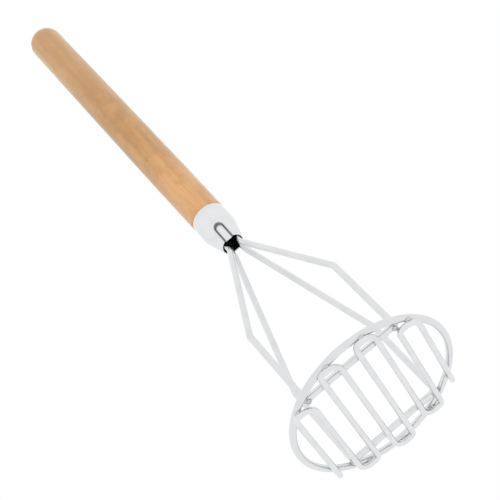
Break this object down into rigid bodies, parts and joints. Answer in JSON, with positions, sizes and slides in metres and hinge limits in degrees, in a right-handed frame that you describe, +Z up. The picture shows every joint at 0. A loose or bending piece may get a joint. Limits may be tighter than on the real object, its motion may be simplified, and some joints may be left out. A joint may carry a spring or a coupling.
{
  "type": "potato masher",
  "caption": "Round-faced wire potato masher: long turned wooden handle, crimped metal ferrule, splayed wire legs, ring and zigzag mashing grid.",
  "frame": {"origin": "centre of the round mashing face, on the surface the masher stands on", "axes": "+Z up the handle from the mashing face to the domed end; bars of the grid along Y, the two cross wires along X; the grid's free ends are on the +Y side"},
  "size_m": [0.1404, 0.1404, 0.5943],
  "materials": {
    "wood": "lacquered light hardwood",
    "plated_sheet": "bright chrome plate",
    "plated_wire": "bright chrome plate"
  },
  "bodies": {
    "root": {"handle": "wood", "ferrule": "plated_sheet", "near_frame_wire": "plated_wire", "far_frame_wire": "plated_wire", "ring": "plated_wire", "grid_wire": "plated_wire"}
  },
  "joints": []
}
